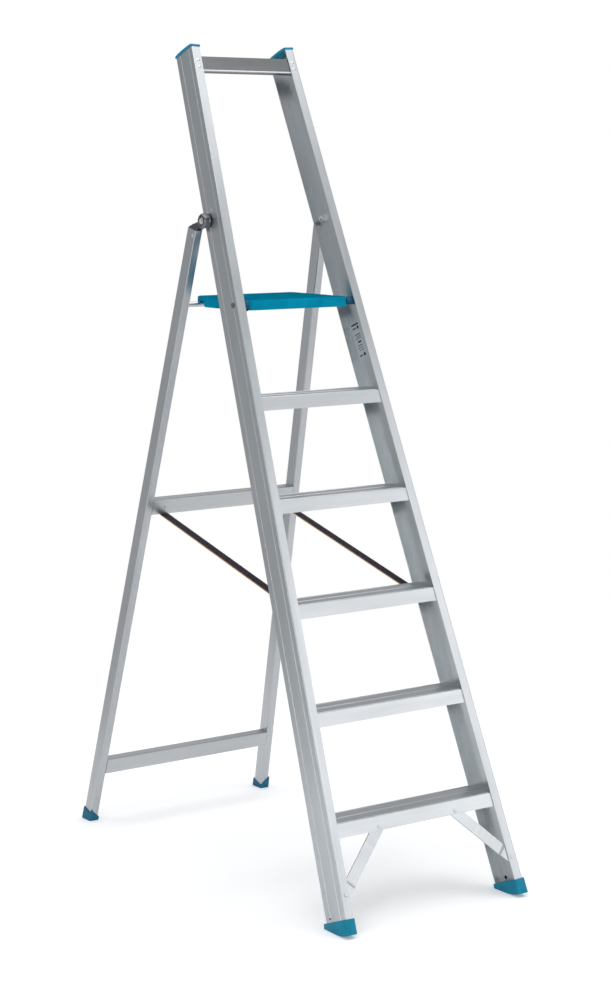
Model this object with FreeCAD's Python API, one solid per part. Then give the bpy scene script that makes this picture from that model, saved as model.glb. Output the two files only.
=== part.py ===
import FreeCAD, Part
import math
import os

# Folding platform step ladder: five treads and a standing platform between two channel stiles,
# held open by a rear frame of two tube legs and two webbing straps.
# Millimetres. X runs across the ladder, +Y from the climbing side to the rear legs, +Z is up.
# The origin is on the floor, in the middle of the footprint. "Right" is +X, seen by the climber.

Vector = FreeCAD.Vector

# Stiles: channels with the web outside, leaning back and closing towards the top
STILE_LEAN = 22.0            # degrees from upright, seen from the side
STILE_CLOSING = 3.1          # degrees each stile closes inwards, seen from the front
STILE_HALF_SPAN = 260.0      # centre line to the outer web face, at the floor
STILE_DEPTH = 77.0
STILE_FLANGE = 24.0
STILE_WALL = 2.5
STILE_LENGTH = 2155.0
STILE_CUT_HEIGHT = 9.0       # the sawn lower end stands this far above the floor
GROOVE_DEPTHS = (15.5, 55.0)  # two lengthwise grooves in the web, from the front face
GROOVE_WIDTH = 4.4
GROOVE_FLOOR = 1.0
GROOVE_CUT = 1.5
STILE_CORNER = 3.0

# Treads: level channels between the webs
TREAD_COUNT = 5
TREAD_RISE = 231.8
TREAD_WALL = 2.0
TREAD_LIP = 30.0
TREAD_NOSE = 1.5             # rounding of the front and rear top edges
TREAD_RIBS = 3
TREAD_RIB_WIDTH = 4.0
TREAD_RIB_HEIGHT = 0.9
TREAD_RIB_SLOPE = 0.8

# Diagonal stays under the first tread, in stile coordinates (across, along)
STAY_WIDTH = 28.0
STAY_THICKNESS = 3.0
STAY_HEAD = (102.0, 235.0)
STAY_FOOT = (242.0, 95.0)

# Top rail and caps
RAIL_ALONG = 2089.0
RAIL_HEIGHT = 40.0
RAIL_DEPTH = 12.0
RAIL_WALL = 2.0
RAIL_BEAD_RADIUS = 2.4
CAP_EDGE = 5.0
CAP_CROWN = 8.5
CAP_OVERHANG = 1.5
CAP_PLUG = 18.0

# Front feet
FOOT_TOP = 44.0
FOOT_TOE = 11.0
FOOT_PROUD = 2.5
FOOT_HEEL_PROUD = 6.0
FOOT_SOLE_START = 20.0
FOOT_SOLE_END = 91.0
FOOT_INNER_PROUD = 1.0
FOOT_SCREW = (58.0, 53.0)    # depth, along

# Rear frame: rectangular tube legs, leaning forward, with two braces and a rod
FLOOR_SPREAD = 1116.0        # from the stiles' front faces to the legs' front faces, at the floor
LEG_LEAN = 14.4
LEG_CLOSING = 3.0
LEG_HALF_SPAN = 279.0
LEG_WIDTH = 21.0
LEG_DEPTH = 36.0
LEG_WALL = 1.5
LEG_TOP = 1597.0
LEG_CUT_HEIGHT = 5.0
SHOE_PROUD = 2.0
BRACE_STARTS = {"lower": 133.2, "upper": 854.9}
BRACE_HEIGHT = 38.2
BRACE_DEPTH = 23.0
BRACE_WALL = 2.0
BRACE_GROOVE = (3.0, 1.5, 1.0)  # distance behind the front face, width and depth
ROD_RADIUS = 7.0
ROD_ALONG = 1403.7

# Hinge between the stiles and the legs, in stile coordinates (depth, along)
HINGE_DEPTH = 60.0
HINGE_ALONG = 1719.0
BOLT_RADIUS = 5.0
BOLT_HEAD_RADIUS = 8.5
BOLT_END = 157.5
NUT_ACROSS_CORNERS = 17.3
NUT_INNER = 162.7
WASHER_RADIUS = 12.0
KNUCKLE_INNER = 176.5
KNUCKLE_OUTER = 192.0
KNUCKLE_RADIUS = 17.0
KNUCKLE_PLUG = 42.0
WEB_RIVET = (39.0, 1738.0)

# Platform: pressed tray hung on two pins, its rear end resting on the rod
PLATFORM_TOP = 1384.0
PLATFORM_HALF_WIDTH = 144.0
PLATFORM_FRONT = 558.0       # behind the stiles' floor line
PLATFORM_REAR = 800.0
PLATFORM_WALL = 2.0
PLATFORM_FRONT_LIP = 24.5
PLATFORM_SIDE_LIP = 27.0
PLATFORM_STEP_START = 762.0  # the side lips step up here, to clear the rod
PLATFORM_STEP_END = 768.0
PLATFORM_CORNER = 12.0
PIVOT_DEPTH = 16.0
PIVOT_ALONG = 1487.3
PIN_RADIUS = 4.0
PIN_INNER = 150.0
BUSH_RADIUS = 10.0
BUSH_OUTER = 181.9
HOOK_WIDTH = 16.0
HOOK_DROP = 24.0

# Straps: webbing from the upper brace to the third tread
STRAP_WIDTH = 25.0
STRAP_THICKNESS = 2.0
STRAP_ACROSS = 178.5
STRAP_TREAD = 3
STRAP_TAB = 22.0
STRAP_RIVET_RISE = 21.0      # the upper rivet above the brace's lower edge

# Label plate on the right stile's web
LABEL_START = 1344.0
LABEL_LENGTH = 99.0
LABEL_DEPTH = 34.0
LABEL_WIDTH = 38.0
LABEL_THICKNESS = 0.4

# Fasteners and fits
RIVET_RADIUS = 2.4
RIVET_HEAD_RADIUS = 4.6
RIVET_HEAD = 1.4
RIVET_FLUSH_HEAD = 0.5
RIVET_TAIL = 1.5
RIVET_TAIL_SWELL = 1.4
SCREW_HEAD = 2.0
HOLE_EASE = 0.05
BEARING_EASE = 0.06
PART_GAP = 0.3
WIDE = 300.0                 # drawn past both stiles, then trimmed

LEAN = math.radians(STILE_LEAN)
REAR_LEAN = math.radians(LEG_LEAN)
STILE_TAPER = math.tan(math.radians(STILE_CLOSING)) * math.cos(LEAN)
LEG_TAPER = math.tan(math.radians(LEG_CLOSING)) * math.cos(REAR_LEAN)

TOE_Y = FOOT_TOE * math.sin(LEAN) - FOOT_PROUD * math.cos(LEAN)
HEEL_Y = FLOOR_SPREAD + (LEG_DEPTH + SHOE_PROUD) / math.cos(REAR_LEAN)
FRONT_LINE_Y = -(TOE_Y + HEEL_Y) / 2
REAR_LINE_Y = FRONT_LINE_Y + FLOOR_SPREAD


# Frames. Stile pieces are drawn upright: x across, y behind the stiles' front faces, z along
# the slope. Leg pieces are drawn upright in the same way, from the legs' front faces.

def to_stile(y, z):
    """Level coordinates, y from the stiles' floor line, as (depth, along) of the stile."""
    depth = y * math.cos(LEAN) - z * math.sin(LEAN)
    along = y * math.sin(LEAN) + z * math.cos(LEAN)
    return depth, along


def from_stile(depth, along):
    """Stile coordinates as level (y, z), y from the stiles' floor line."""
    y = along * math.sin(LEAN) + depth * math.cos(LEAN)
    z = along * math.cos(LEAN) - depth * math.sin(LEAN)
    return y, z


def to_leg(y, z):
    """Level coordinates, y from the stiles' floor line, as (depth, along) of the leg."""
    behind = y - FLOOR_SPREAD
    depth = behind * math.cos(REAR_LEAN) + z * math.sin(REAR_LEAN)
    along = z * math.cos(REAR_LEAN) - behind * math.sin(REAR_LEAN)
    return depth, along


def from_leg(depth, along):
    """Leg coordinates as level (y, z), y from the stiles' floor line."""
    y = FLOOR_SPREAD - along * math.sin(REAR_LEAN) + depth * math.cos(REAR_LEAN)
    z = along * math.cos(REAR_LEAN) + depth * math.sin(REAR_LEAN)
    return y, z


def lean_back(shape):
    placed = shape.copy()
    placed.rotate(Vector(0, 0, 0), Vector(1, 0, 0), -STILE_LEAN)
    placed.translate(Vector(0, FRONT_LINE_Y, 0))
    return placed


def lean_forward(shape):
    placed = shape.copy()
    placed.rotate(Vector(0, 0, 0), Vector(1, 0, 0), LEG_LEAN)
    placed.translate(Vector(0, REAR_LINE_Y, 0))
    return placed


def level(shape):
    placed = shape.copy()
    placed.translate(Vector(0, FRONT_LINE_Y, 0))
    return placed


def other_side(shape):
    return shape.mirror(Vector(0, 0, 0), Vector(1, 0, 0))


def save(node, *solids):
    shape = solids[0] if len(solids) == 1 else Part.makeCompound(list(solids))
    shape.exportStep(os.path.join("parts", node + ".step"))


def save_pair(node, right, place):
    save(node + "_right", place(right))
    save(node + "_left", place(other_side(right)))


def save_both_sides(node, rights, place):
    solids = [place(solid) for solid in rights]
    solids += [place(other_side(solid)) for solid in rights]
    save(node, *solids)


# Shapes

def prism(points, push):
    outline = Part.makePolygon(points + [points[0]])
    return Part.Face(outline).extrude(push)


def side_prism(outline, x_low, x_high):
    """Push a (y, z) outline across the ladder."""
    points = [Vector(x_low, y, z) for y, z in outline]
    return prism(points, Vector(x_high - x_low, 0, 0))


def rounded(shape, radius, wanted):
    edges = [edge for edge in shape.Edges if wanted(edge.CenterOfMass)]
    return shape.makeFillet(radius, edges)


def cross_cylinder(radius, x_low, x_high, y, z):
    return Part.makeCylinder(radius, x_high - x_low, Vector(x_low, y, z), Vector(1, 0, 0))


def stile_x(along):
    return STILE_HALF_SPAN - STILE_TAPER * along


def leg_x(along):
    return LEG_HALF_SPAN - LEG_TAPER * along


def tapered_slab(edge_x, outside, inside, low, high):
    """Slab that follows a tapering outer face, from outside it to inside it."""
    points = [
        Vector(edge_x(low) + outside, -60, low),
        Vector(edge_x(high) + outside, -60, high),
        Vector(edge_x(high) - inside, -60, high),
        Vector(edge_x(low) - inside, -60, low),
    ]
    return prism(points, Vector(0, 240, 0))


def between_faces(edge_x, inset, low, high):
    """Everything between the inner faces of a tapering left and right pair."""
    points = [
        Vector(edge_x(low) - inset, -60, low),
        Vector(edge_x(high) - inset, -60, high),
        Vector(-edge_x(high) + inset, -60, high),
        Vector(-edge_x(low) + inset, -60, low),
    ]
    return prism(points, Vector(0, 240, 0))


def rivet(seat, outward, grip, head_height=RIVET_HEAD, tail=RIVET_TAIL):
    """Domed head on the seat, a shank through the grip and, if it has one, a set tail behind."""
    crown = Vector(0, 0, head_height)
    shoulder = Vector(RIVET_HEAD_RADIUS * 0.72, 0, head_height * 0.72)
    rim = Vector(RIVET_HEAD_RADIUS, 0, 0)
    corners = [rim, Vector(RIVET_RADIUS, 0, 0), Vector(RIVET_RADIUS, 0, -grip)]
    if tail:
        tail_radius = RIVET_RADIUS * RIVET_TAIL_SWELL
        corners.append(Vector(tail_radius, 0, -grip))
        corners.append(Vector(tail_radius, 0, -grip - tail))
    corners.append(Vector(0, 0, -grip - tail))
    corners.append(crown)
    edges = [Part.Arc(crown, shoulder, rim).toShape()]
    edges += [Part.makeLine(a, b) for a, b in zip(corners, corners[1:])]
    solid = Part.Face(Part.Wire(edges)).revolve(Vector(0, 0, 0), Vector(0, 0, 1), 360)
    solid.Placement = FreeCAD.Placement(seat, FreeCAD.Rotation(Vector(0, 0, 1), outward))
    return solid


def drilled(shape, seats, outward, depth, radius=RIVET_RADIUS + HOLE_EASE):
    """Drill a hole under each seat, starting just outside it."""
    result = shape
    for seat in seats:
        start = seat + outward * 3
        result = result.cut(Part.makeCylinder(radius, depth + 3, start, outward * -1))
    return result


def from_both_sides(seats):
    return seats + [Vector(-seat.x, seat.y, seat.z) for seat in seats]


REARWARD = Vector(0, 1, 0)
FORWARD = Vector(0, -1, 0)
STILE_OUTWARD = Vector(1, 0, STILE_TAPER).normalize()
LEG_OUTWARD = Vector(1, 0, LEG_TAPER).normalize()


# Stile channel

def plain_stile():
    """Right stile without grooves, rounding or holes, sawn level at the lower end."""
    low = -60
    edge = stile_x(low)
    inner = edge - STILE_FLANGE
    web = edge - STILE_WALL
    back = STILE_DEPTH - STILE_WALL
    section = [
        (edge, 0), (inner, 0), (inner, STILE_WALL), (web, STILE_WALL),
        (web, back), (inner, back), (inner, STILE_DEPTH), (edge, STILE_DEPTH),
    ]
    length = STILE_LENGTH - low
    points = [Vector(x, depth, low) for x, depth in section]
    channel = prism(points, Vector(-STILE_TAPER * length, 0, length))
    return channel.cut(below_stile_level(STILE_CUT_HEIGHT))


def below_stile_level(height):
    """Everything under a level plane, in stile coordinates."""
    block = Part.makeBox(700, 600, 300, Vector(-350, -300, height - 300))
    block.rotate(Vector(0, 0, 0), Vector(1, 0, 0), STILE_LEAN)
    return block


def tread_edges(number):
    """Stile coordinates of a tread's front and rear top edges."""
    z = number * TREAD_RISE
    front_y = (STILE_WALL + z * math.sin(LEAN)) / math.cos(LEAN)
    run = (STILE_DEPTH - 2 * STILE_WALL) / math.cos(LEAN)
    return front_y, front_y + run, z


def tread_rivet_seats(number):
    """Two seats on the right stile's rear flange, over the tread's rear lip."""
    front_y, rear_y, z = tread_edges(number)
    top = to_stile(rear_y, z)[1]
    seats = []
    for drop in (10, 23):
        along = top - drop
        seats.append(Vector(stile_x(along) - 14, STILE_DEPTH, along))
    return seats


def rail_rivet_seats():
    seats = []
    for along in (RAIL_ALONG + 11, RAIL_ALONG + 29):
        seats.append(Vector(stile_x(along) - 13, 0, along))
    return seats


def stay_seats():
    """Seats of the stay's rivets: on the tread's front lip and on the stile's front flange."""
    head = Vector(STAY_HEAD[0] + 8, STILE_WALL, STAY_HEAD[1] - 8)
    foot = Vector(STAY_FOOT[0] - 1, 0, STAY_FOOT[1] + 1)
    return head, foot


def foot_screw_seat():
    depth, along = FOOT_SCREW
    return Vector(stile_x(along) - STILE_WALL, depth, along)


def web_rivet_seat():
    depth, along = WEB_RIVET
    return Vector(stile_x(along), depth, along)


def web_groove(middle):
    """Lengthwise groove with sloping sides, cut into the right stile's outer web face."""
    low = -80
    edge = stile_x(low)
    section = [
        (edge + 0.1, middle - GROOVE_WIDTH / 2), (edge - GROOVE_CUT, middle - GROOVE_FLOOR / 2),
        (edge - GROOVE_CUT, middle + GROOVE_FLOOR / 2), (edge + 0.1, middle + GROOVE_WIDTH / 2),
    ]
    length = STILE_LENGTH + 20 - low
    points = [Vector(x, depth, low) for x, depth in section]
    return prism(points, Vector(-STILE_TAPER * length, 0, length))


def stile():
    channel = plain_stile()
    corner_x = stile_x(STILE_LENGTH / 2)

    def outer_corner(point):
        at_face = abs(point.x - corner_x) < 3 and 500 < point.z < 1700
        return at_face and (point.y < 0.1 or point.y > STILE_DEPTH - 0.1)

    channel = rounded(channel, STILE_CORNER, outer_corner)
    for middle in GROOVE_DEPTHS:
        channel = channel.cut(web_groove(middle))
    for number in range(1, TREAD_COUNT + 1):
        channel = drilled(channel, tread_rivet_seats(number), REARWARD, STILE_WALL + 0.5)
    channel = drilled(channel, rail_rivet_seats(), FORWARD, STILE_WALL + 0.5)
    channel = drilled(channel, [stay_seats()[1]], FORWARD, STILE_WALL + 0.5)
    channel = drilled(channel, [foot_screw_seat(), web_rivet_seat()], STILE_OUTWARD, STILE_WALL + 1)
    bolt_hole = cross_cylinder(BOLT_RADIUS + HOLE_EASE, 140, 220, HINGE_DEPTH, HINGE_ALONG)
    pin_hole = cross_cylinder(PIN_RADIUS + HOLE_EASE, 140, 220, PIVOT_DEPTH, PIVOT_ALONG)
    return channel.cut(bolt_hole).cut(pin_hole)


# Treads

def strap_tread_seat():
    """Seat of the strap's lower rivet, on the rear face of the strap tread's rear lip."""
    front_y, rear_y, z = tread_edges(STRAP_TREAD)
    top = to_stile(rear_y, z)[1]
    return Vector(STRAP_ACROSS, STILE_DEPTH - STILE_WALL, top - 17)


def tread(number):
    front_y, rear_y, z = tread_edges(number)
    wall_run = TREAD_WALL / math.cos(LEAN)
    lip_run = TREAD_LIP * math.tan(LEAN)
    plate_run = TREAD_WALL * math.tan(LEAN)
    floor = z - TREAD_WALL
    hem = z - TREAD_LIP
    outline = [
        (front_y, z), (rear_y, z), (rear_y - lip_run, hem), (rear_y - lip_run - wall_run, hem),
        (rear_y - plate_run - wall_run, floor), (front_y - plate_run + wall_run, floor),
        (front_y - lip_run + wall_run, hem), (front_y - lip_run, hem),
    ]
    body = side_prism([to_stile(y, height) for y, height in outline], -WIDE, WIDE)
    edges = [to_stile(front_y, z), to_stile(rear_y, z)]

    def top_edge(point):
        return any(math.hypot(point.y - depth, point.z - along) < 0.1 for depth, along in edges)

    body = rounded(body, TREAD_NOSE, top_edge)
    margin = 2 * TREAD_NOSE
    pitch = (rear_y - front_y - TREAD_RIB_WIDTH - 2 * margin) / (TREAD_RIBS - 1)
    for index in range(TREAD_RIBS):
        start = front_y + margin + index * pitch
        end = start + TREAD_RIB_WIDTH
        rib = [
            (start, z - 0.5), (end, z - 0.5), (end, z),
            (end - TREAD_RIB_SLOPE, z + TREAD_RIB_HEIGHT),
            (start + TREAD_RIB_SLOPE, z + TREAD_RIB_HEIGHT), (start, z),
        ]
        body = body.fuse(side_prism([to_stile(y, height) for y, height in rib], -WIDE, WIDE))
    body = body.removeSplitter()
    low = number * TREAD_RISE - 60
    body = body.common(between_faces(stile_x, STILE_WALL, low, low + 260))
    body = drilled(body, from_both_sides(tread_rivet_seats(number)), REARWARD, 6)
    if number == 1:
        body = drilled(body, from_both_sides([stay_seats()[0]]), FORWARD, 3)
    if number == STRAP_TREAD:
        body = drilled(body, from_both_sides([strap_tread_seat()]), REARWARD, 4)
    return body


def tread_rivets():
    grip = STILE_WALL + TREAD_WALL
    seats = [seat for number in range(1, TREAD_COUNT + 1) for seat in tread_rivet_seats(number)]
    return [rivet(seat, REARWARD, grip) for seat in seats]


# Stays under the first tread: flat bars, set forward at the foot to lie on the flange

def stay():
    run = Vector(STAY_FOOT[0] - STAY_HEAD[0], 0, STAY_FOOT[1] - STAY_HEAD[1])
    length = run.Length
    behind_lip = STILE_WALL + TREAD_WALL
    outline = [
        (0, behind_lip), (length - 34, behind_lip), (length - 28, STILE_WALL),
        (length, STILE_WALL), (length, STILE_WALL + STAY_THICKNESS),
        (length - 28, STILE_WALL + STAY_THICKNESS),
        (length - 34, behind_lip + STAY_THICKNESS), (0, behind_lip + STAY_THICKNESS),
    ]
    along = Vector(run).normalize()
    across = Vector(along.z, 0, -along.x)
    start = Vector(STAY_HEAD[0], 0, STAY_HEAD[1]) - across * (STAY_WIDTH / 2)
    points = [start + along * distance + Vector(0, depth, 0) for distance, depth in outline]
    bar = prism(points, across * STAY_WIDTH)
    return drilled(bar, stay_seats(), FORWARD, 12)


def stay_rivets():
    head, foot = stay_seats()
    at_head = rivet(head, FORWARD, TREAD_WALL + STAY_THICKNESS, RIVET_FLUSH_HEAD)
    at_foot = rivet(foot, FORWARD, STILE_WALL + STAY_THICKNESS, RIVET_FLUSH_HEAD)
    return [at_head, at_foot]


# Top rail, a box section with a bead along its lower front edge

def top_rail():
    front = STILE_WALL
    back = front + RAIL_DEPTH
    top = RAIL_ALONG + RAIL_HEIGHT
    shell = side_prism([(front, RAIL_ALONG), (back, RAIL_ALONG), (back, top), (front, top)], -WIDE, WIDE)
    inside = [
        (front + RAIL_WALL, RAIL_ALONG + RAIL_WALL), (back - RAIL_WALL, RAIL_ALONG + RAIL_WALL),
        (back - RAIL_WALL, top - RAIL_WALL), (front + RAIL_WALL, top - RAIL_WALL),
    ]
    rail = shell.cut(side_prism(inside, -WIDE, WIDE))
    rail = rail.common(between_faces(stile_x, STILE_WALL, RAIL_ALONG - 20, top + 20))
    bead_end = stile_x(RAIL_ALONG) - STILE_FLANGE - 1
    bead_along = RAIL_ALONG + RAIL_BEAD_RADIUS
    bead = cross_cylinder(RAIL_BEAD_RADIUS, -bead_end, bead_end, front + 0.6, bead_along)
    bead = bead.common(side_prism([(0, 2000), (front + 1, 2000), (front + 1, 2200), (0, 2200)], -WIDE, WIDE))
    rail = rail.fuse(bead).removeSplitter()
    return drilled(rail, from_both_sides(rail_rivet_seats()), FORWARD, 6)


def top_rail_rivets():
    grip = STILE_WALL + RAIL_WALL
    return [rivet(seat, FORWARD, grip, RIVET_FLUSH_HEAD) for seat in rail_rivet_seats()]


# Moulded cap on a stile's upper end: a crowned lid and a plug between the flanges

def top_cap():
    base = STILE_LENGTH
    front = Vector(0, -CAP_OVERHANG, base + CAP_EDGE)
    crown = Vector(0, STILE_DEPTH / 2, base + CAP_CROWN)
    rear = Vector(0, STILE_DEPTH + CAP_OVERHANG, base + CAP_EDGE)
    corners = [rear, Vector(0, rear.y, base), Vector(0, front.y, base), front]
    edges = [Part.Arc(front, crown, rear).toShape()]
    edges += [Part.makeLine(a, b) for a, b in zip(corners, corners[1:])]
    lid = Part.Face(Part.Wire(edges)).extrude(Vector(400, 0, 0))
    lid = lid.common(tapered_slab(stile_x, CAP_OVERHANG, STILE_FLANGE + CAP_OVERHANG, base - 1, base + 12))
    plug_low = base - CAP_PLUG
    plug = Part.makeBox(400, STILE_DEPTH - 2 * STILE_WALL, CAP_PLUG, Vector(0, STILE_WALL, plug_low))
    plug = plug.common(tapered_slab(stile_x, -STILE_WALL, STILE_FLANGE - 1, plug_low - 1, base + 1))
    return lid.fuse(plug).removeSplitter()


# Front foot: a moulded shoe around the channel's lower end, with a curved toe and a flat sole

def front_foot():
    front = -FOOT_PROUD
    back = STILE_DEPTH + FOOT_HEEL_PROUD
    toe_y, toe_z = from_stile(front, FOOT_TOE)
    toe_radius = ((FOOT_SOLE_START - toe_y) ** 2 + toe_z ** 2) / (2 * toe_z)
    toe_turn = math.atan2(FOOT_SOLE_START - toe_y, toe_radius - toe_z) / 2
    bend_y = FOOT_SOLE_START - toe_radius * math.sin(toe_turn)
    bend_z = toe_radius - toe_radius * math.cos(toe_turn)

    def point(y, z):
        depth, along = to_stile(y, z)
        return Vector(100, depth, along)

    toe = Vector(100, front, FOOT_TOE)
    sole_start = point(FOOT_SOLE_START, 0)
    corners = [
        sole_start, point(FOOT_SOLE_END, 0), Vector(100, back, FOOT_TOP), Vector(100, front, FOOT_TOP), toe,
    ]
    edges = [Part.Arc(toe, point(bend_y, bend_z), sole_start).toShape()]
    edges += [Part.makeLine(a, b) for a, b in zip(corners, corners[1:])]
    block = Part.Face(Part.Wire(edges)).extrude(Vector(300, 0, 0))
    slab = tapered_slab(stile_x, FOOT_PROUD, STILE_FLANGE + FOOT_INNER_PROUD, -60, 100)
    return block.common(slab).cut(plain_stile())


def foot_screw():
    """Screw with its head on the inner face of the web, its end flush with the outer face."""
    return rivet(foot_screw_seat(), STILE_OUTWARD * -1, STILE_WALL, SCREW_HEAD, 0)


# Hinge: bolt, nut and washer on the stile, and a knuckle in the top of the leg

def hinge_place():
    return from_stile(HINGE_DEPTH, HINGE_ALONG)


def level_stile():
    """The plain right stile, standing in level coordinates."""
    leaning = plain_stile()
    leaning.rotate(Vector(0, 0, 0), Vector(1, 0, 0), -STILE_LEAN)
    return leaning


def hinge_bolt():
    y, z = hinge_place()
    head_low = KNUCKLE_OUTER + PART_GAP
    shank = cross_cylinder(BOLT_RADIUS, BOLT_END, head_low + 1, y, z)
    head = cross_cylinder(BOLT_HEAD_RADIUS, head_low, head_low + 3.4, y, z)
    head = rounded(head, 1.5, lambda point: point.x > head_low + 3)
    return shank.fuse(head).removeSplitter()


def hinge_nut(stile_solid):
    y, z = hinge_place()
    corners = []
    for step in range(6):
        turn = math.radians(60 * step + 30)
        radius = NUT_ACROSS_CORNERS / 2
        corners.append((y + radius * math.cos(turn), z + radius * math.sin(turn)))
    hexagon = side_prism(corners, NUT_INNER, 172.5)
    bore = cross_cylinder(BOLT_RADIUS + HOLE_EASE, NUT_INNER - 1, 180, y, z)
    return inner_piece(hexagon.cut(bore).cut(stile_solid))


def inner_piece(shape):
    """The solid nearest the middle of the ladder."""
    return min(shape.Solids, key=lambda solid: solid.CenterOfMass.x)


def outer_piece(shape):
    return max(shape.Solids, key=lambda solid: solid.CenterOfMass.x)


def hinge_washer(stile_solid):
    y, z = hinge_place()
    disc = cross_cylinder(WASHER_RADIUS, 172.5, KNUCKLE_INNER - PART_GAP, y, z)
    bore = cross_cylinder(BOLT_RADIUS + HOLE_EASE, 165, 190, y, z)
    return outer_piece(disc.cut(bore).cut(stile_solid))


def web_rivet():
    return rivet(web_rivet_seat(), STILE_OUTWARD, STILE_WALL)


# Platform pins

def platform_pivot():
    return from_stile(PIVOT_DEPTH, PIVOT_ALONG)


def platform_pin():
    y, z = platform_pivot()
    face = stile_x(PIVOT_ALONG)
    shank = cross_cylinder(PIN_RADIUS, PIN_INNER, face + 0.8, y, z)
    head = cross_cylinder(PIN_RADIUS + 2.5, face + 0.4, face + 1.6, y, z)
    return shank.fuse(head).removeSplitter()


# Blank label plate on the inner face of the right stile's web

def label():
    high = LABEL_START + LABEL_LENGTH
    plate = Part.makeBox(400, LABEL_WIDTH, LABEL_LENGTH, Vector(0, LABEL_DEPTH, LABEL_START))
    inner = STILE_WALL + LABEL_THICKNESS
    return plate.common(tapered_slab(stile_x, -STILE_WALL, inner, LABEL_START - 1, high + 1))


# Rear legs

def below_leg_level(height):
    block = Part.makeBox(700, 600, 300, Vector(-350, -300, height - 300))
    block.rotate(Vector(0, 0, 0), Vector(1, 0, 0), -LEG_LEAN)
    return block


def leg_block(wall):
    """Right leg's outer shape, less a wall thickness all round."""
    low = -40
    outer = leg_x(low) - wall
    inner = leg_x(low) - LEG_WIDTH + wall
    section = [(outer, wall), (inner, wall), (inner, LEG_DEPTH - wall), (outer, LEG_DEPTH - wall)]
    length = LEG_TOP - low
    points = [Vector(x, depth, low) for x, depth in section]
    return prism(points, Vector(-LEG_TAPER * length, 0, length))


def knuckle_rivet_seat():
    along = LEG_TOP - 13
    return Vector(leg_x(along), 9.5, along)


def bracket_seats():
    """Seats of the rivets that hold a brace's end bracket to the leg's inner face."""
    seats = []
    for start in BRACE_STARTS.values():
        for rise in (8, 22):
            along = start + rise
            seats.append(Vector(leg_x(along) - LEG_WIDTH - BRACE_WALL, 12, along))
    return seats


def rear_leg():
    block = leg_block(0)
    block = rounded(block, 2.5, lambda point: 500 < point.z < 1200)
    bore = leg_block(LEG_WALL)
    tube = block.cut(bore).cut(below_leg_level(LEG_CUT_HEIGHT))
    tube = drilled(tube, [knuckle_rivet_seat()], LEG_OUTWARD, 6)
    tube = drilled(tube, bracket_seats(), LEG_OUTWARD * -1, BRACE_WALL + LEG_WALL + 1)
    return tube


# Shoe on the leg's lower end: a cup with a sloping rim and a tongue up the outer front corner

def rear_foot():
    low = -14
    slab = tapered_slab(leg_x, SHOE_PROUD, LEG_WIDTH + SHOE_PROUD, low - 1, 60)
    block = Part.makeBox(400, LEG_DEPTH + 2 * SHOE_PROUD, 70, Vector(100, -SHOE_PROUD, low)).common(slab)
    rim = Part.makeBox(200, 200, 100, Vector(-100, -100, 0))
    rim.rotate(Vector(0, 0, 0), Vector(1, 0, 0), 6)
    rim.rotate(Vector(0, 0, 0), Vector(0, 1, 0), -27)
    rim.translate(Vector(leg_x(20) + SHOE_PROUD, 0, 20))
    cup = block.cut(rim)
    outer = leg_x(20) + SHOE_PROUD
    tongue_points = [
        Vector(outer + 3, -SHOE_PROUD, low), Vector(outer + 3, -SHOE_PROUD, 31),
        Vector(outer - 2, -SHOE_PROUD, 31), Vector(outer - LEG_WIDTH - 6, -SHOE_PROUD, 8),
        Vector(outer - LEG_WIDTH - 6, -SHOE_PROUD, low),
    ]
    tongue = prism(tongue_points, Vector(0, SHOE_PROUD + 3, 0)).common(slab)
    shoe = cup.fuse(tongue).removeSplitter()
    leg_end = leg_block(0).cut(below_leg_level(LEG_CUT_HEIGHT))
    return shoe.cut(leg_end).cut(below_leg_level(0))


# Braces: channels open downwards, their front faces flush with the legs

def brace_rivet_seat():
    """Seat of the strap's upper rivet, on the front face of the upper brace."""
    return Vector(STRAP_ACROSS, 0, BRACE_STARTS["upper"] + STRAP_RIVET_RISE)


def rear_brace(name):
    low = BRACE_STARTS[name]
    high = low + BRACE_HEIGHT
    outline = [
        (0, low), (BRACE_WALL, low), (BRACE_WALL, high - BRACE_WALL),
        (BRACE_DEPTH - BRACE_WALL, high - BRACE_WALL), (BRACE_DEPTH - BRACE_WALL, low),
        (BRACE_DEPTH, low), (BRACE_DEPTH, high), (0, high),
    ]
    channel = side_prism(outline, -WIDE, WIDE)
    behind, width, cut = BRACE_GROOVE
    groove = [
        (behind, high - cut), (behind + width, high - cut), (behind + width, high + 1), (behind, high + 1),
    ]
    channel = channel.cut(side_prism(groove, -WIDE, WIDE))
    channel = channel.common(between_faces(leg_x, LEG_WIDTH, low - 20, high + 20))
    if name == "upper":
        channel = drilled(channel, from_both_sides([brace_rivet_seat()]), FORWARD, 4)
    return channel


def brace_bracket(start):
    """Angle against the leg's inner face and the brace's front wall."""
    low = start + 1
    high = start + 31
    front = BRACE_WALL
    foot = Part.makeBox(400, 17, high - low, Vector(0, front, low))
    foot = foot.common(tapered_slab(leg_x, -LEG_WIDTH, LEG_WIDTH + BRACE_WALL, low - 1, high + 1))
    wing = Part.makeBox(400, BRACE_WALL, high - low, Vector(0, front, low))
    wing = wing.common(tapered_slab(leg_x, -LEG_WIDTH, LEG_WIDTH + 16, low - 1, high + 1))
    angle = foot.fuse(wing).removeSplitter()
    return drilled(angle, bracket_seats(), LEG_OUTWARD * -1, BRACE_WALL + 1)


def bracket_rivets():
    grip = BRACE_WALL + LEG_WALL
    return [rivet(seat, LEG_OUTWARD * -1, grip) for seat in bracket_seats()]


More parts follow.
